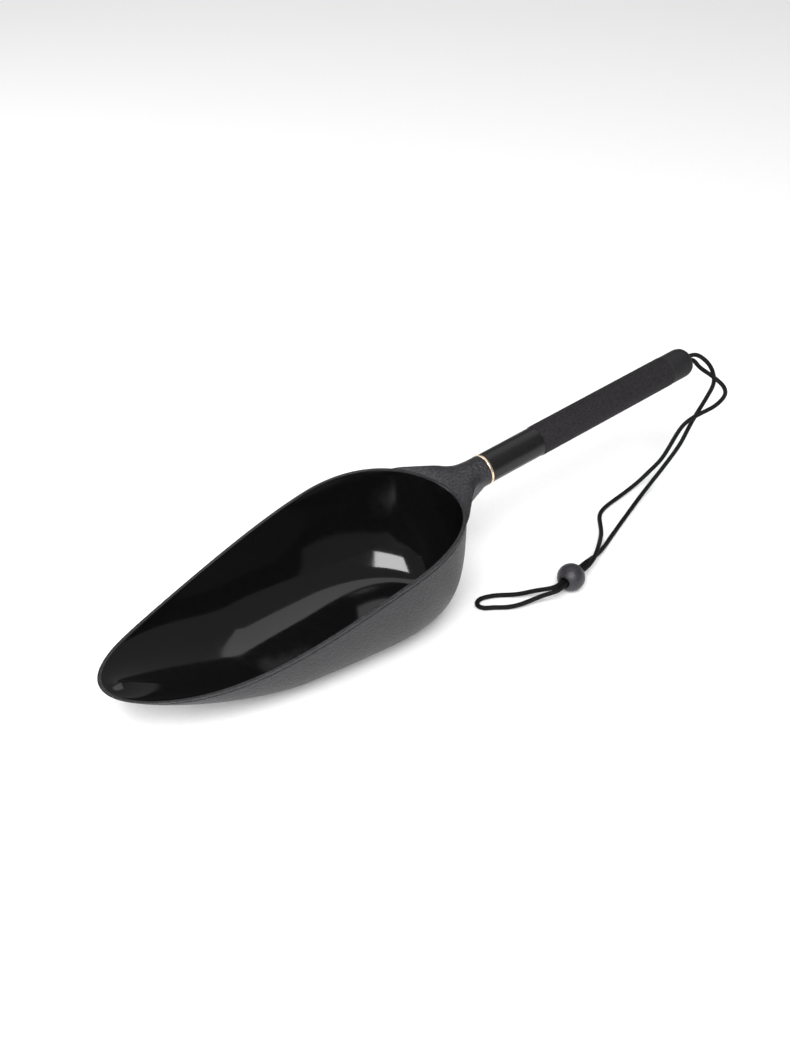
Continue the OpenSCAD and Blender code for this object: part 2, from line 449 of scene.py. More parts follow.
def apply_boolean(
    target: bpy.types.Object, tool: bpy.types.Object, operation: str
) -> None:
    """Joins tool to target, or cuts it out, and removes tool.

    Args:
        target: the object that changes.
        tool: the object that is added or taken away.
        operation: UNION or DIFFERENCE.
    """
    cut = target.modifiers.new("joined", "BOOLEAN")
    cut.operation, cut.object, cut.solver = operation, tool, "EXACT"
    graph = bpy.context.evaluated_depsgraph_get()
    result = bpy.data.meshes.new_from_object(target.evaluated_get(graph))
    target.modifiers.clear()
    target.data = result
    bpy.data.objects.remove(tool)


@dataclass(frozen=True)
class HandleAxis:
    """The line that neck, collar, tube, grip and cap share, measured from the collar."""

    origin: Point = (49.8, 0.0, 83.0)
    rise_deg: float = 6.25

    def place(self, along: float, across: float, up: float) -> Point:
        """A point beside the axis, in the row frame.

        Args:
            along: how far it is from the collar, towards the handle's end.
            across: how far it is to the left of the axis.
            up: how far it is above the axis, square to it.

        Returns:
            The point, in millimetres.
        """
        rise = math.radians(self.rise_deg)
        c, s = math.cos(rise), math.sin(rise)
        x, y, z = self.origin
        return (x + along * c - up * s, y + across, z + along * s + up * c)


@dataclass(frozen=True)
class Corner:
    """A corner of a turned part's outline: how far along, how far out, how rounded."""

    along: float
    out: float
    radius: float = 0.25


def outline(corners: list[Corner], steps: int = 6) -> list[tuple[float, float]]:
    """Rounds the corners of a closed outline.

    Args:
        corners: the outline's corners, in order.
        steps: how many points each rounded corner gets, less one.

    Returns:
        Points of the rounded outline.
    """
    made = []
    for i, corner in enumerate(corners):
        here = np.array([corner.along, corner.out])
        before, after = corners[i - 1], corners[(i + 1) % len(corners)]
        back = np.array([before.along, before.out]) - here
        on = np.array([after.along, after.out]) - here
        reach_back = min(corner.radius, np.linalg.norm(back) * CORNER_SHARE)
        reach_on = min(corner.radius, np.linalg.norm(on) * CORNER_SHARE)
        start = here + back / np.linalg.norm(back) * reach_back
        stop = here + on / np.linalg.norm(on) * reach_on
        count = steps * (4 if corner.radius > BIG_CORNER else 1)
        for k in range(count + 1):
            t = k / count
            # Two quarter sweeps, which make a circular arc where the corner is square
            a, b = math.cos(t * math.pi / 2), math.sin(t * math.pi / 2)
            point = here + (start - here) * (1 - b) + (stop - here) * (1 - a)
            made.append((float(point[0]), float(point[1])))
    return made


def turned(
    name: str,
    profile: list[tuple[float, float]],
    axis: HandleAxis,
    finish: Finish,
    sides: int = 128,
) -> bpy.types.Object:
    """Turns a closed outline round the handle's axis.

    Args:
        name: the piece's name.
        profile: the outline, as distances along the axis and out from it.
        axis: the handle's axis.
        finish: the piece's finish.
        sides: how many points go round it.

    Returns:
        The turned piece.
    """
    points = [
        axis.place(s, r * math.cos(i * TURN / sides), r * math.sin(i * TURN / sides))
        for s, r in profile
        for i in range(sides)
    ]
    return mesh_piece(name, points, ring_faces(len(profile), sides, True), [finish])


# The bowl's outer top edge, as depth below the rim and move inwards: a rounded brow, a
# plain band, and the groove that sets the rolled lip off from the wall
LIP_EDGE = [
    (0.0, 0.45),
    (0.08, 0.2),
    (0.28, 0.04),
    (0.6, 0.0),
    (1.5, 0.0),
    (1.7, 0.1),
    (1.85, 0.6),
    (2.05, 1.0),
    (2.4, 1.05),
    (2.65, 0.7),
    (2.85, 0.2),
    (3.2, 0.03),
    (3.8, 0.0),
]
# The cavity's top edge in the same terms, flared so that the brow is rounded inside too
BRIM_EDGE = [(-0.4, -0.75), (0.0, -0.4), (0.1, -0.15), (0.35, -0.03), (0.8, 0.0)]


@dataclass
class Scoop:
    """The moulded head: an egg-shaped bowl, and the web, rib and neck in one with it."""

    axis: HandleAxis = field(default_factory=HandleAxis)
    bowl_length: float = 269.0
    bowl_width: float = 129.0
    wall: float = 2.8
    # The rim: its heights, its level ends, its place, and its fullness, where 2 is an ellipse
    tip_height: float = 39.5
    back_height: float = 82.0
    tip_level: float = 33.0
    back_level: float = 12.0
    back_of_rim: float = 32.2
    back_part: float = 79.0
    rim_front_fullness: float = 2.05
    rim_back_fullness: float = 2.12
    # The keel: how far inside the rim its ends are, and how it drops from the tip
    keel_from_tip: float = 14.0
    keel_from_back: float = 34.0
    keel_drop: float = 100.0
    keel_start_z: float = 37.0
    keel_curve: float = 1.5
    flat_cut: float = 0.8
    # The walls: how full they are at the two ends, and how far the tip leans in
    tip_fullness: float = 2.5
    back_fullness: float = 3.3
    tip_rake: float = 0.28
    # The mesh: where the wall is less deep than this the top edge shrinks with it, and
    # its levels are crowded towards the rim and the keel
    full_edge_depth: float = 8.0
    level_fullness: float = 2.9
    level_crowding: float = 1.25
    around: int = 288
    down: int = 72
    cut_above: float = 115.0
    # The neck and its rounded front edge, whose rings lie this far behind the collar
    neck_radius: float = 11.0
    neck_rings: tuple[float, ...] = (1.05, 1.2, 1.45)
    neck_edge: float = 0.35
    neck_edge_length: float = 0.4
    bush_radius: float = 7.0
    bush_depth: float = 18.0
    bush_play: float = 0.02
    bore_ahead: float = 1.0
    bore_sides: int = 96
    # The web, by distances behind the collar: where it starts and stops, where it flares
    # from the neck and where it tucks in under the rim
    web_from: float = 3.0
    web_first: float = 2.0
    web_to: float = 58.0
    web_sides: int = 144
    web_stations: int = 120
    web_edge: float = 3.2
    edge_roundness: float = 0.6
    flare_from: float = 16.0
    flare_slope: float = 0.98
    flare_bend: float = 6.0
    tuck_from: float = 42.0
    tuck_length: float = 14.0
    tuck_inside: float = 1.0
    # How long each change takes, from web_from on: the web's height, its width, its
    # thickness, the crown's fall, the crown's sharpening, and the rib's growth
    spread_length: float = 24.0
    flare_length: float = 10.0
    skin_length: float = 14.0
    crown_length: float = 30.0
    sharpen_length: float = 20.0
    rib_length: float = 6.0
    # How far above the rim the web's top starts, how much it climbs and how soon
    web_above_rim: float = 0.1
    web_lift: float = 5.6
    web_lift_reach: float = 5.0
    crown_sharpness: float = 1.5
    # The rib below the web
    rib_from: float = 6.0
    rib_to: float = 40.0
    rib_slope: float = 0.95
    rib_bend: float = 2.0
    rib_sharpness: float = 0.35

    def __post_init__(self) -> None:
        """Works out the places that the other sizes give."""
        self.rim_back_x = self.axis.origin[0] - self.back_of_rim
        self.rim_mid_x = self.rim_back_x - self.back_part
        self.tip_x = self.rim_back_x - self.bowl_length
        self.keel_from = self.tip_x + self.keel_from_tip
        self.keel_to = self.rim_back_x - self.keel_from_back

    def rim_z(self, x: float) -> float:
        """Height of the rim at a place along the scoop."""
        start, stop = self.tip_x + self.tip_level, self.rim_back_x - self.back_level
        return mix(self.tip_height, self.back_height, ease((x - start) / (stop - start)))

    def rim_point(self, angle: float, inset: float) -> Point:
        """A point of the rim.

        Args:
            angle: where round the bowl, from the tip.
            inset: how far the rim is moved inwards.

        Returns:
            The point, in millimetres.
        """
        c, s = math.cos(angle), math.sin(angle)
        front = c > 0
        power = 2 / (self.rim_front_fullness if front else self.rim_back_fullness)
        length = self.bowl_length - self.back_part
        reach = -(length - inset) if front else self.back_part - inset
        x = self.rim_mid_x + reach * abs(c) ** power
        y = math.copysign((self.bowl_width / 2 - inset) * abs(s) ** power, s)
        return (x, y, self.rim_z(x))

    def keel_z(self, x: float) -> float:
        """Height of the keel line at a place along the scoop."""
        t = min(max((self.keel_from + self.keel_drop - x) / self.keel_drop, 0.0), 1.0)
        return self.keel_start_z * t**self.keel_curve - self.flat_cut

    def bowl_point(self, angle: float, fall: float, inset: float) -> Point:
        """A point of the bowl's surface.

        Args:
            angle: where round the bowl, from the tip.
            fall: how far down, from 0 at the rim to 1 on the keel.
            inset: how far the surface is moved inwards.

        Returns:
            The point, in millimetres.
        """
        x, y, top = self.rim_point(angle, inset)
        span = self.bowl_length - 2 * inset
        along = min(max((x - self.tip_x - inset) / span, 0.0), 1.0)
        fullness = mix(self.tip_fullness, self.back_fullness, along)
        out = (1 - min(fall, 1.0) ** fullness) ** (1 / fullness)
        reach = out * (1 - mix(self.tip_rake, 0.0, along) * fall)
        keel_x = mix(self.keel_from, self.keel_to - inset, along)
        z = mix(top, self.keel_z(keel_x) + inset, fall)
        # The belly would dip below the ground by flat_cut, and settles on it instead
        flat = self.flat_cut
        settled = soft_ramp(z - inset, flat) - soft_ramp(-flat, flat) + inset
        return (mix(keel_x, x, reach), y * reach, settled)

    def inward(self, angle: float) -> tuple[float, float]:
        """The level direction that points into the bowl from its rim.

        Args:
            angle: where round the bowl, from the tip.

        Returns:
            The direction's x and y.
        """
        nudge = 0.01
        ahead = self.rim_point(angle + nudge, 0)
        behind = self.rim_point(angle - nudge, 0)
        dx, dy = ahead[0] - behind[0], ahead[1] - behind[1]
        size = math.hypot(dx, dy)
        x, y = -dy / size, dx / size
        middle = self.rim_mid_x - self.rim_point(angle, 0)[0]
        return (x, y) if x * middle - y * math.sin(angle) > 0 else (-x, -y)

    def column(
        self, angle: float, inset: float, edge: list[tuple[float, float]]
    ) -> list[Point]:
        """Points from the rim down to the keel, with the edge's own shape at the top.

        Args:
            angle: where round the bowl.
            inset: how far the surface is moved inwards.
            edge: for each level near the rim, its depth and its extra move inwards.

        Returns:
            The points, from the top down.
        """
        keel_x = self.bowl_point(angle, 1.0, inset)[0]
        total = self.rim_point(angle, inset)[2] - self.keel_z(keel_x) - inset
        scale = min(1.0, total / self.full_edge_depth)
        nx, ny = self.inward(angle)
        made = []
        for depth, extra in edge:
            x, y, z = self.bowl_point(angle, max(depth, 0.0) * scale / total, inset)
            lift = -min(depth, 0.0)
            made.append((x + nx * extra * scale, y + ny * extra * scale, z + lift))
        first = edge[-1][0] * scale / total
        start = math.asin(min(first ** (self.level_fullness / 2), 1.0))
        for k in range(1, self.down + 1):
            drop = mix(start, math.pi / 2, (k / self.down) ** self.level_crowding)
            fall = math.sin(drop) ** (2 / self.level_fullness)
            made.append(self.bowl_point(angle, fall, inset))
        return made

    def shell(
        self,
        name: str,
        inset: float,
        edge: list[tuple[float, float]],
        skin: Skin,
        lift_to: float | None = None,
    ) -> bpy.types.Object:
        """The bowl filled up to its rim, or the cavity that is taken out of it.

        Args:
            name: the object's name.
            inset: how far its surface is moved inwards.
            edge: the shape of its top edge.
            skin: which side of the moulding it makes.
            lift_to: the height of its lid, if that isn't at the rim.

        Returns:
            A closed object.
        """
        count = self.around
        columns = [
            self.column(i * TURN / count, inset, edge) for i in range(count // 2 + 1)
        ]
        if lift_to is not None:
            columns = [[(c[0][0], c[0][1], lift_to), *c] for c in columns]
        levels = len(columns[0])
        points = []
        for level in range(levels - 1):
            half = [c[level] for c in columns]
            half[0] = (half[0][0], 0.0, half[0][2])
            half[-1] = (half[-1][0], 0.0, half[-1][2])
            points += half + [(x, -y, z) for x, y, z in reversed(half[1:-1])]
        keel = len(points)
        points += [(c[-1][0], 0.0, c[-1][2]) for c in columns]
        faces = ring_faces(levels - 1, count, False) + mirror_lid(count, 0)
        last = (levels - 2) * count
        for i in range(count):
            j = (i + 1) % count
            a, b = keel + min(i, count - i), keel + min(j, count - j)
            faces.append((last + i, last + j, b, a))
        return mesh_piece(name, points, faces, HEAD_FINISHES, skin)

    def rim_half(self, x: float) -> float:
        """Half the width of the back part of the rim."""
        full = self.rim_back_fullness
        along = min(max((x - self.rim_mid_x) / self.back_part, 0.0), 1.0)
        return self.bowl_width / 2 * (1 - along**full) ** (1 / full)

    def web_rise(self, x: float, y: float) -> float:
        """How far the web's top has risen at a place outside the rim.

        Args:
            x: the place along the scoop.
            y: the place across it.

        Returns:
            The rise, which is 0 at the rim and comes near web_lift well outside it.
        """
        full = self.rim_back_fullness
        along = (abs(x - self.rim_mid_x) / self.back_part) ** full
        across = (abs(y) * 2 / self.bowl_width) ** full
        outside = max((along + across) ** (1 / full) - 1, 0.0) * self.back_part
        return self.web_lift * (1 - math.exp(-outside / self.web_lift_reach))

    def grown(self, s: float, length: float) -> float:
        """How far a change that starts at web_from and takes length has come, 0 to 1."""
        return ease((s - self.web_from) / length)

    def web_section(self, s: float) -> list[Point]:
        """The outline of neck, web and rib across the handle's axis.

        It is a circle at the neck and spreads into a dished web with a rib below it.

        Args:
            s: how far behind the collar.

        Returns:
            Its points, in millimetres.
        """
        rise = math.radians(self.axis.rise_deg)
        middle = self.axis.place(-s, 0.0, 0.0)[0]
        level = self.rim_z(middle) + self.web_above_rim - self.axis.origin[2]
        top = (level + s * math.sin(rise)) / math.cos(rise)
        spread = self.grown(s, self.spread_length)
        flare = self.flare_slope * soft_ramp(s - self.flare_from, self.flare_bend)
        wide = self.neck_radius + flare * self.grown(s, self.flare_length)
        tuck = ease((s - self.tuck_from) / self.tuck_length)
        half = mix(wide, self.rim_half(middle) - self.tuck_inside, tuck)
        skin = self.web_edge / 2 * self.grown(s, self.skin_length)
        edge_z = (top - self.web_edge / 2) * spread
        crown = self.neck_radius * (1 - self.grown(s, self.crown_length))
        crown_power = 1 + self.crown_sharpness * self.grown(s, self.sharpen_length)
        rib = self.rib_slope * soft_ramp(min(s, self.rib_to) - self.rib_from, self.rib_bend)
        low = self.neck_radius + edge_z - skin + self.web_rise(middle, 0.0) * spread
        low += rib * self.grown(s, self.rib_length)
        low_power = 1 + self.rib_sharpness * (half - self.neck_radius)
        made = []
        for i in range(self.web_sides):
            angle = i * TURN / self.web_sides
            up, above = abs(math.sin(angle)), i <= self.web_sides // 2
            bulge = crown * up**crown_power if above else low * up**low_power
            edge = math.copysign(skin * up**self.edge_roundness + bulge, 1 if above else -1)
            y = half * math.cos(angle)
            raised = edge_z + self.web_rise(middle, y) * spread
            made.append(self.axis.place(-s, y, raised + edge))
        return made

    def web(self) -> bpy.types.Object:
        """Neck, web and rib in one closed object that runs into the bowl's back wall.

        Returns:
            The object.
        """
        sides, stations = self.web_sides, self.web_stations
        face = self.neck_rings[0]
        places = [mix(self.web_first, self.web_to, k / stations) for k in range(stations)]
        rings = []
        for s in [*self.neck_rings, *places]:
            back = min((s - face) / self.neck_edge_length, 1.0)
            keep = 1 - self.neck_edge * (1 - back) ** 2 / self.neck_radius
            centre = self.axis.place(-s, 0.0, 0.0)
            rings.append(
                [
                    tuple(c + (value - c) * keep for c, value in zip(centre, point))
                    for point in self.web_section(s)
                ]
            )
        points = [p for ring in rings for p in ring]
        faces = ring_faces(len(rings), sides, False)
        faces += mirror_lid(sides, 0) + mirror_lid(sides, (len(rings) - 1) * sides)
        return mesh_piece("web", points, faces, HEAD_FINISHES)

    def bore(self) -> bpy.types.Object:
        """What is taken out of the neck for the threaded bush.

        Returns:
            A plain round bar.
        """
        sides, radius = self.bore_sides, self.bush_radius + self.bush_play
        points = []
        for s in (self.bore_ahead, -self.neck_rings[0] - self.bush_depth):
            for i in range(sides):
                a = i * TURN / sides
                points.append(self.axis.place(s, radius * math.cos(a), radius * math.sin(a)))
        faces = ring_faces(2, sides, False)
        faces += mirror_lid(sides, 0) + mirror_lid(sides, sides)
        return mesh_piece("bore", points, faces, HEAD_FINISHES)

    def build(self) -> bpy.types.Object:
        """Moulds the head: bowl and web are joined, then the cavity and bore are cut.

        Returns:
            The head.
        """
        head = self.shell("scoop_moulding", 0.0, LIP_EDGE, Skin.OUTSIDE)
        cavity = self.shell("cavity", self.wall, BRIM_EDGE, Skin.INSIDE, self.cut_above)
        apply_boolean(head, self.web(), "UNION")
        apply_boolean(head, cavity, "DIFFERENCE")
        apply_boolean(head, self.bore(), "DIFFERENCE")
        mesh = head.data
        for polygon in mesh.polygons:
            polygon.use_smooth = True
        mesh.set_sharp_from_angle(angle=math.radians(SHARP_DEG))
        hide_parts("scoop")
        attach(head, Body.HEAD.value)
        log.info("scoop: %d faces", len(mesh.polygons))
        return head


@dataclass
class Coupling:
    """What joins head and handle: the threaded bush, the collar ring and the stud."""

    axis: HandleAxis = field(default_factory=HandleAxis)
    ring_half: float = 1.0
    ring_radius: float = 11.3
    stud_radius: float = 5.95
    stud_into_neck: float = 13.0
    stud_length: float = 36.05
    ring_play: float = 0.25
    ring_corner: float = 0.6
    pitch: float = 1.5
    thread_depth: float = 0.75
    thread_sides: int = 48
    thread_steps: int = 8

    def build_ring(self) -> bpy.types.Object:
        """Turns the brass collar, with softly rounded outer edges.

        Returns:
            The ring.
        """
        h, inner = self.ring_half, self.stud_radius + self.ring_play
        corners = [
            Corner(-h, inner, 0.1),
            Corner(-h, self.ring_radius, self.ring_corner),
            Corner(h, self.ring_radius, self.ring_corner),
            Corner(h, inner, 0.1),
        ]
        ring = turned("collar_ring", outline(corners), self.axis, POLISHED_BRASS)
        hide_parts("joint_ring")
        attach(ring, Body.COLLAR.value)
        log.info("collar ring: %.1f mm across", 2 * self.ring_radius)
        return ring

    def build_stud(self) -> bpy.types.Object:
        """Cuts the stud's thread as a real helix that runs out at the ends.

        Returns:
            The stud.
        """
        sides = self.thread_sides
        step = self.pitch / self.thread_steps
        count = int(self.stud_length / step)
        points = []
        for k in range(count + 1):
            s = -self.stud_into_neck + k * step
            fade = ease(min(k * step, (count - k) * step) / self.pitch)
            for i in range(sides):
                phase = (s / self.pitch - i / sides) % 1.0
                cut = self.thread_depth * abs(2 * phase - 1)
                r = self.stud_radius - self.thread_depth * (1 - fade) - cut * fade
                a = i * TURN / sides
                points.append(self.axis.place(s, r * math.cos(a), r * math.sin(a)))
        faces = ring_faces(count + 1, sides, False)
        faces += mirror_lid(sides, 0) + mirror_lid(sides, count * sides)
        stud = mesh_piece("threaded_stud", points, faces, [ZINC_STEEL])
        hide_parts("stud")
        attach(stud, Body.HANDLE.value)
        log.info("threaded stud: %d turns of thread", int(self.stud_length / self.pitch))
        return stud

    def dress_hidden(self) -> None:
        """Gives the bush and the plug, whose shapes are right as they are, their finishes."""
        for node, finish in (
            ("insert_bush", TURNED_BRASS),
            ("front_plug", MOULDED_NYLON),
        ):
            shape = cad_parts[node].data
            shape.materials.clear()
            shape.materials.append(finish.material())
            log.info("%s: dressed in %s", node, finish.name)


@dataclass
class Handle:
    """The tube, the grip's sleeve and the domed cap."""

    axis: HandleAxis = field(default_factory=HandleAxis)
    tube_from: float = 1.05
    tube_radius: float = 10.9
    tube_bore: float = 9.7
    grip_from: float = 48.3
    grip_to: float = 175.8
    grip_radius: float = 11.3
    cap_end: float = 197.8
    cap_radius: float = 11.1
    cap_edge: float = 7.0
    cap_spigot: float = 16.0
    cap_wall: float = 9.0
    knot_chamber: float = 7.0
    cord_hole: float = 3.7
    # How far the cap's rim stands off the tube's end, and its spigot off the tube's bore
    cap_gap: float = 0.05
    # How far the sleeve stands off the tube
    sleeve_gap: float = 0.02

    def fit(self, piece: bpy.types.Object, node: str) -> bpy.types.Object:
        """Makes a piece stand for a node of the handle and ride on it.

        Args:
            piece: the piece.
            node: the node that it replaces.

        Returns:
            The same piece.
        """
        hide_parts(node)
        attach(piece, Body.HANDLE.value)
        log.info("%s: built", piece.name)
        return piece

    def build_tube(self) -> bpy.types.Object:
        """Turns the tube, whose front is bare and which runs on inside the sleeve.

        Returns:
            The tube.
        """
        corners = [
            Corner(self.tube_from, self.tube_bore, 0.15),
            Corner(self.tube_from, self.tube_radius, 0.35),
            Corner(self.grip_to, self.tube_radius, 0.35),
            Corner(self.grip_to, self.tube_bore, 0.15),
        ]
        tube = turned("tube", outline(corners), self.axis, ANODISED_ALUMINIUM)
        return self.fit(tube, "handle_tube")

    def build_sleeve(self) -> bpy.types.Object:
        """Turns the grip's skin, whose front edge is rolled down onto the tube.

        Returns:
            The sleeve.
        """
        inner = self.tube_radius + self.sleeve_gap
        corners = [
            Corner(self.grip_from, inner, 0.02),
            Corner(self.grip_from, self.grip_radius, 0.3),
            Corner(self.grip_to, self.grip_radius, 0.2),
            Corner(self.grip_to, inner, 0.02),
        ]
        sleeve = turned("grip_skin", outline(corners), self.axis, GRAINED_RUBBER)
        return self.fit(sleeve, "grip_sleeve")

    def build_cap(self) -> bpy.types.Object:
        """Turns the domed cap: spigot, chamber for the knot and flared cord hole.

        Returns:
            The cap.
        """
        back, end, gap = self.grip_to, self.cap_end, self.cap_gap
        corners = [
            Corner(back - self.cap_spigot, self.knot_chamber, 0.2),
            Corner(back - self.cap_spigot, self.tube_bore - gap, 0.4),
            Corner(back + gap, self.tube_bore - gap, 0.1),
            Corner(back + gap, self.cap_radius, 0.35),
            Corner(end, self.cap_radius, self.cap_edge),
            Corner(end, self.cord_hole, 0.8),
            Corner(end - self.cap_wall, self.cord_hole, 0.2),
            Corner(end - self.cap_wall, self.knot_chamber, 0.5),
        ]
        cap = turned("cap", outline(corners), self.axis, CAP_RUBBER)
        return self.fit(cap, "end_cap")


@dataclass
class Lanyard:
    """The braided cord from the cap round the wrist loop and back, its knot and bead."""

    axis: HandleAxis = field(default_factory=HandleAxis)
    cord_diameter: float = 3.3
    bead_diameter: float = 20.0
    bead_half: float = 8.6
    bead_bore: float = 3.9
    bead_place: Point = (84.0, -60.0, 10.0)
    bead_turn_deg: float = 13.5
    bead_lead: float = 20.0
    bead_tail: float = 14.0
    strand_offset: float = 1.8
    knot_place: float = 180.8
    cap_end: float = 197.8
    # The braid: yarns each way, the length of a stitch, how thick the cord is between the
    # crossings and how far they stand proud, as shares of its radius, and their flat tops
    carriers: int = 6
    stitch: float = 1.1
    braid_body: float = 0.98
    braid_swell: float = 0.033
    braid_flat: float = 0.6
    # What the cord's map counts round it: about its girth in millimetres
    map_girth: float = 10.0
    sides: int = 24
    bead_sides: int = 96
    curve_points: int = 6000

    def bead_line(self, along: float, side: float) -> Point:
        """A point beside the straight line through the bead's bore.

        Args:
            along: how far it is from the bead's middle, towards the handle.
            side: how far it is to the left of the line, on the level.

        Returns:
            The point, in millimetres.
        """
        c = math.cos(math.radians(self.bead_turn_deg))
        s = math.sin(math.radians(self.bead_turn_deg))
        x, y, z = self.bead_place
        return (x + along * c - side * s, y + along * s + side * c, z)

    def route(self) -> list[Point]:
        """The cord's route: out of the cap, through the bead, round the loop and back.

        Returns:
            The points that the cord goes through, in millimetres.
        """
        leg_out = [
            (255.5, -2.5, 107.2),
            (258.5, -8.5, 105),
            (260.5, -13.5, 100.5),
            (261.5, -16.5, 95),
            (261.5, -18, 88),
            (259.5, -17, 80),
            (255.5, -15.5, 71),
            (251.4, -13, 60.1),
            (246.9, -11.5, 49.6),
            (242, -10.5, 39),
            (234.5, -9, 28),
            (225, -7.5, 17),
            (208, -10, 8),
            (186, -17.5, 3.5),
            (162.5, -27.5, 2),
            (144, -36.5, 2.7),
            (129.5, -44, 4.8),
            (117, -49.2, 7.2),
        ]
        leg_back = [
            (110, -55, 11.2),
            (119, -49.6, 12),
            (128.5, -42, 9.5),
            (139.5, -32.5, 5),
            (148, -24.5, 2.5),
            (155.5, -15.5, 2),
            (163.5, -7, 2),
            (173, -2.5, 2),
            (188.5, 1, 2),
            (203.5, 2.5, 4),
            (215, 2.5, 8),
            (223, 1, 14),
            (229.5, -2, 22),
            (234.5, -4.5, 32),
            (240, -6, 43),
            (243, -9.2, 52.6),
            (246.2, -15.6, 62),
            (252.2, -19.6, 66.5),
            (258.6, -24.5, 72),
            (262.5, -27.5, 78),
            (262.5, -29.5, 84),
            (260.5, -28.5, 90),
            (258, -23, 94.5),
            (257, -16, 96.5),
            (256.5, -9.5, 97.7),
            (256.5, -4.5, 99.2),
            (255.3, -1.2, 101.8),
        ]
        loop = [
            (65.5, -65.8, 9.9),
            (59.5, -63.9, 9),
            (52.5, -60.3, 6.5),
            (44, -57.5, 4.5),
            (36.5, -54.3, 3),
            (29.5, -49.4, 2),
            (23.7, -45.3, 2),
            (19, -42.3, 2),
            (17.2, -38.4, 2),
            (19, -34.7, 2),
            (23.4, -33, 2),
            (29, -34, 2),
            (35, -36.5, 2),
            (42, -41, 2),
            (48.3, -47.3, 4),
            (55.3, -53.5, 7),
            (61.5, -58.9, 9.1),
            (65.8, -61.3, 9.9),
        ]
        lift = self.strand_offset
        # Inside the cap both strands run straight from the knot to the hole's mouth
        inside = [self.knot_place, self.knot_place + 9, self.cap_end]
        through = [mix(self.bead_lead, -self.bead_tail, k / 3) for k in range(4)]
        return [
            *[self.axis.place(s, 0, lift) for s in inside],
            *leg_out,
            *[self.bead_line(d, lift) for d in through],
            *reversed(loop),
            *[self.bead_line(d, -lift) for d in reversed(through)],
            *leg_back,
            *[self.axis.place(s, 0, -lift) for s in reversed(inside)],
        ]

    def centreline(self, step: float) -> np.ndarray:
        """The smooth curve through the route.

        Args:
            step: the distance between its points, in millimetres.

        Returns:
            Its points, evenly spaced, as rows.
        """
        knots = np.array(self.route())
        gaps = np.linalg.norm(np.diff(knots, axis=0), axis=1)
        at = np.concatenate([[0.0], np.cumsum(gaps)])
        count = len(knots)
        matrix, right = np.eye(count), np.zeros((count, 3))
        for i in range(1, count - 1):
            a, b = gaps[i - 1], gaps[i]
            matrix[i, i - 1 : i + 2] = a, 2 * (a + b), b
            right[i] = 6 * (
                (knots[i + 1] - knots[i]) / b - (knots[i] - knots[i - 1]) / a
            )
        bend = np.linalg.solve(matrix, right)
        fine = np.linspace(0, at[-1], self.curve_points)
        k = np.clip(np.searchsorted(at, fine, side="right") - 1, 0, count - 2)
        h = gaps[k][:, None]
        t, u = (fine - at[k])[:, None], (at[k + 1] - fine)[:, None]
        curve = (bend[k] * u**3 + bend[k + 1] * t**3) / (6 * h)
        curve += (knots[k] / h - bend[k] * h / 6) * u
        curve += (knots[k + 1] / h - bend[k + 1] * h / 6) * t
        run = np.concatenate(
            [[0.0], np.cumsum(np.linalg.norm(np.diff(curve, axis=0), axis=1))]
        )
        even = np.linspace(0, run[-1], int(run[-1] / step) + 1)
        return np.stack([np.interp(even, run, curve[:, c]) for c in range(3)], axis=1)

    def build_cord(self, bead: bpy.types.Object) -> bpy.types.Object:
        """Braids the cord: the yarns' crossings stand up from it as small lozenges.

        Args:
            bead: the bead that slides on the cord; not used.

        Returns:
            The cord.
        """
        step = self.stitch / 4
        line = self.centreline(step)
        ahead = np.gradient(line, axis=0)
        ahead /= np.linalg.norm(ahead, axis=1)[:, None]
        side = np.zeros_like(line)
        side[0] = (0.0, 1.0, 0.0)
        for i in range(len(line)):
            start = side[max(i - 1, 0)]
            level = start - (start @ ahead[i]) * ahead[i]
            side[i] = level / np.linalg.norm(level)
        up = np.cross(ahead, side)
        turn = np.arange(self.sides) / self.sides * TURN
        run = np.arange(len(line)) * step
        round_it, along_it = np.cos(self.carriers * turn), np.cos(math.pi * run / self.stitch)
        yarn = round_it[None, :] * along_it[:, None]
        crossing = np.clip(yarn, -self.braid_flat, self.braid_flat)
        radius = self.cord_diameter / 2 * (self.braid_body + self.braid_swell * crossing)
        ring = np.cos(turn)[None, :, None] * side[:, None, :]
        ring = ring + np.sin(turn)[None, :, None] * up[:, None, :]
        points = (line[:, None, :] + radius[:, :, None] * ring).reshape(-1, 3)
        faces = ring_faces(len(line), self.sides, False)
        faces.append(tuple(range(self.sides)))
        faces.append(tuple(range(len(points) - self.sides, len(points))))
        cord = mesh_piece(
            "lanyard_braid", points.tolist(), faces, [NYLON_BRAID], sharp_deg=80
        )
        layer = cord.data.uv_layers.new(name="braid")
        for polygon in cord.data.polygons:
            rows = [v // self.sides for v in polygon.vertices]
            cols = [v % self.sides for v in polygon.vertices]
            wrap = max(cols) - min(cols) > self.sides // 2
            for corner, row, col in zip(polygon.loop_indices, rows, cols):
                v = col + (self.sides if wrap and col < self.sides // 2 else 0)
                layer.data[corner].uv = (row * step, v / self.sides * self.map_girth)
        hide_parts("lanyard_cord")
        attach(cord, Body.HANDLE.value)
        length = float(np.linalg.norm(np.diff(line, axis=0), axis=1).sum())
        [c * MM for c in self.axis.place(self.cap_end, 0, self.strand_offset)]
        log.info("cord: %.0f mm long", length)
        return cord

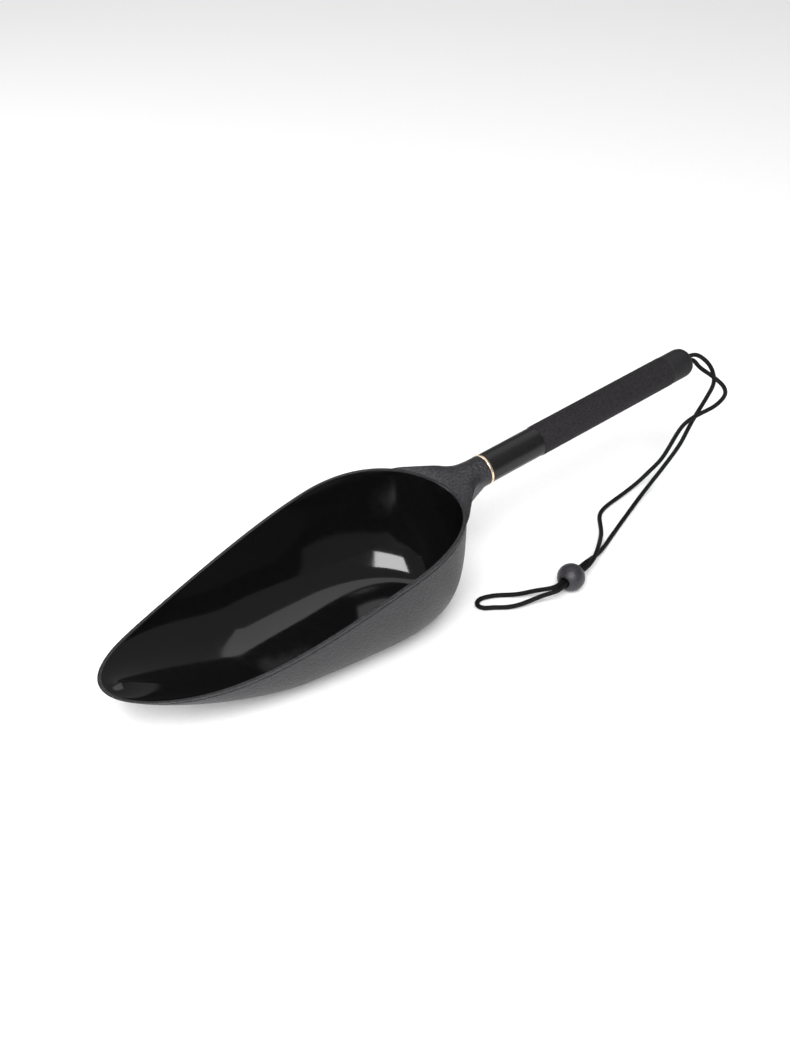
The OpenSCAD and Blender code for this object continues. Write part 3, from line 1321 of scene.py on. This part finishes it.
    def build_bead(self) -> bpy.types.Object:
        """Drills the bead: a ball with a small flat and a rounded mouth at each end.

        Returns:
            The bead.
        """
        ball, half, bore = self.bead_diameter / 2, self.bead_half, self.bead_bore
        rim = math.sqrt(ball**2 - half**2)
        tilt = math.asin(half / ball)
        steps = 40
        profile = [
            (ball * math.sin(a), ball * math.cos(a))
            for a in (mix(-tilt, tilt, k / steps) for k in range(steps + 1))
        ]
        mouth = [(half, rim - 0.4), (half, bore + 0.7), (half - 0.1, bore + 0.3)]
        mouth += [(half - 0.35, bore + 0.06), (half - 0.8, bore)]
        profile += mouth + [(-s, r) for s, r in reversed(mouth)]
        c = math.cos(math.radians(self.bead_turn_deg))
        s = math.sin(math.radians(self.bead_turn_deg))
        x0, y0, z0 = self.bead_place
        points = []
        for along, out in profile:
            for i in range(self.bead_sides):
                a = i * TURN / self.bead_sides
                across, up = out * math.cos(a), out * math.sin(a)
                points.append(
                    (x0 + along * c - across * s, y0 + along * s + across * c, z0 + up)
                )
        faces = ring_faces(len(profile), self.bead_sides, True)
        bead = mesh_piece("bead", points, faces, [BEAD_RUBBER])
        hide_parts("slider_bead")
        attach(bead, Body.SLIDER.value)
        log.info("bead: %.0f mm across", self.bead_diameter)
        return bead

    def dress_knot(self) -> None:
        """Gives the knot inside the cap, whose shape is right as it is, its finish."""
        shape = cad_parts["cord_knot"].data
        shape.materials.clear()
        shape.materials.append(MOULDED_NYLON.material())
        log.info("cord knot: dressed")


@dataclass(frozen=True)
class SoftBox:
    """A rectangular soft light: where it hangs, what it points at, and its size in metres."""

    name: str
    place: Point
    aim: Point
    width: float
    height: float
    power: float

    def build(self) -> bpy.types.Object:
        """Hangs the light.

        Returns:
            The light.
        """
        lamp = bpy.data.lights.new(self.name, "AREA")
        lamp.shape, lamp.size, lamp.size_y = "RECTANGLE", self.width, self.height
        lamp.energy = self.power
        made = bpy.data.objects.new(self.name, lamp)
        made.location = self.place
        away = Vector(self.place) - Vector(self.aim)
        made.rotation_euler = away.to_track_quat("Z", "Y").to_euler()
        bpy.context.scene.collection.objects.link(made)
        return made


@dataclass
class Studio:
    """The pale floor, the lights and the camera."""

    azimuth_deg: float = -37.07
    elevation_deg: float = 35.0
    distance: float = 1.018
    aim: Point = (-0.0126, 0.0190, 0.050)
    lens: float = 50.0
    sensor: float = 36.0
    floor_half: float = 9.0
    # The paper lies this far below the ground, in millimetres, clear of the bowl's flat
    floor_drop: float = 0.1
    sky: float = 0.22

    def build_camera(self) -> bpy.types.Object:
        """Sets the camera on its line of sight.

        Returns:
            The camera.
        """
        a, e = math.radians(self.azimuth_deg), math.radians(self.elevation_deg)
        back = Vector(
            (math.sin(a) * math.cos(e), -math.cos(a) * math.cos(e), math.sin(e))
        )
        data = bpy.data.cameras.new("camera")
        data.lens, data.sensor_width = self.lens, self.sensor
        camera = bpy.data.objects.new("camera", data)
        camera.location = Vector(self.aim) + back * self.distance
        camera.rotation_euler = back.to_track_quat("Z", "Y").to_euler()
        bpy.context.scene.collection.objects.link(camera)
        bpy.context.scene.camera = camera
        log.info("camera: %.0f mm lens", self.lens)
        return camera

    def build_floor(self) -> bpy.types.Object:
        """Lays the paper.

        Returns:
            The floor.
        """
        h, z = self.floor_half / MM, -self.floor_drop
        corners = [(-h, -h, z), (h, -h, z), (h, h, z), (-h, h, z)]
        floor = mesh_piece("floor", corners, [(0, 1, 2, 3)], [STUDIO_PAPER])
        return floor

    def build_lights(self) -> None:
        """Hangs the lights and sets the sky."""
        boxes = [
            SoftBox("key", (-1.2, -1.4, 2.0), (0, 0, 0), 1.8, 1.8, 112),
            SoftBox("backdrop", (1.5, 2.0, 4.0), (1.7, 2.4, 0), 4.6, 4.6, 60),
            SoftBox("window", (-1.0, 0.97, 0.56), (0, 0.04, 0.01), 0.70, 0.95, 8),
        ]
        for box in boxes:
            box.build()
        world = bpy.data.worlds.new("sky")
        world.use_nodes = True
        tree = world.node_tree
        tree.nodes.clear()
        sky = add_node(
            tree,
            "ShaderNodeBackground",
            {"Color": linear("#ffffff"), "Strength": self.sky},
        )
        add_node(tree, "ShaderNodeOutputWorld", links={"Surface": sky.outputs[0]})
        bpy.context.scene.world = world
        bpy.context.scene.view_settings.view_transform = "Standard"
        log.info("studio: %d lights", len(boxes))


def main() -> None:
    """Builds the studio, the lanyard and then the rest, piece by piece."""
    logging.basicConfig(level=logging.INFO, format="%(message)s")
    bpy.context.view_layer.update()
    studio = Studio()
    studio.build_camera()
    lanyard = Lanyard()
    lanyard.build_cord(lanyard.build_bead())
    lanyard.dress_knot()
    handle = Handle()
    handle.build_tube()
    handle.build_sleeve()
    handle.build_cap()
    coupling = Coupling()
    coupling.build_ring()
    coupling.build_stud()
    coupling.dress_hidden()
    Scoop().build()
    studio.build_floor()
    studio.build_lights()


if __name__ == "__main__":
    main()
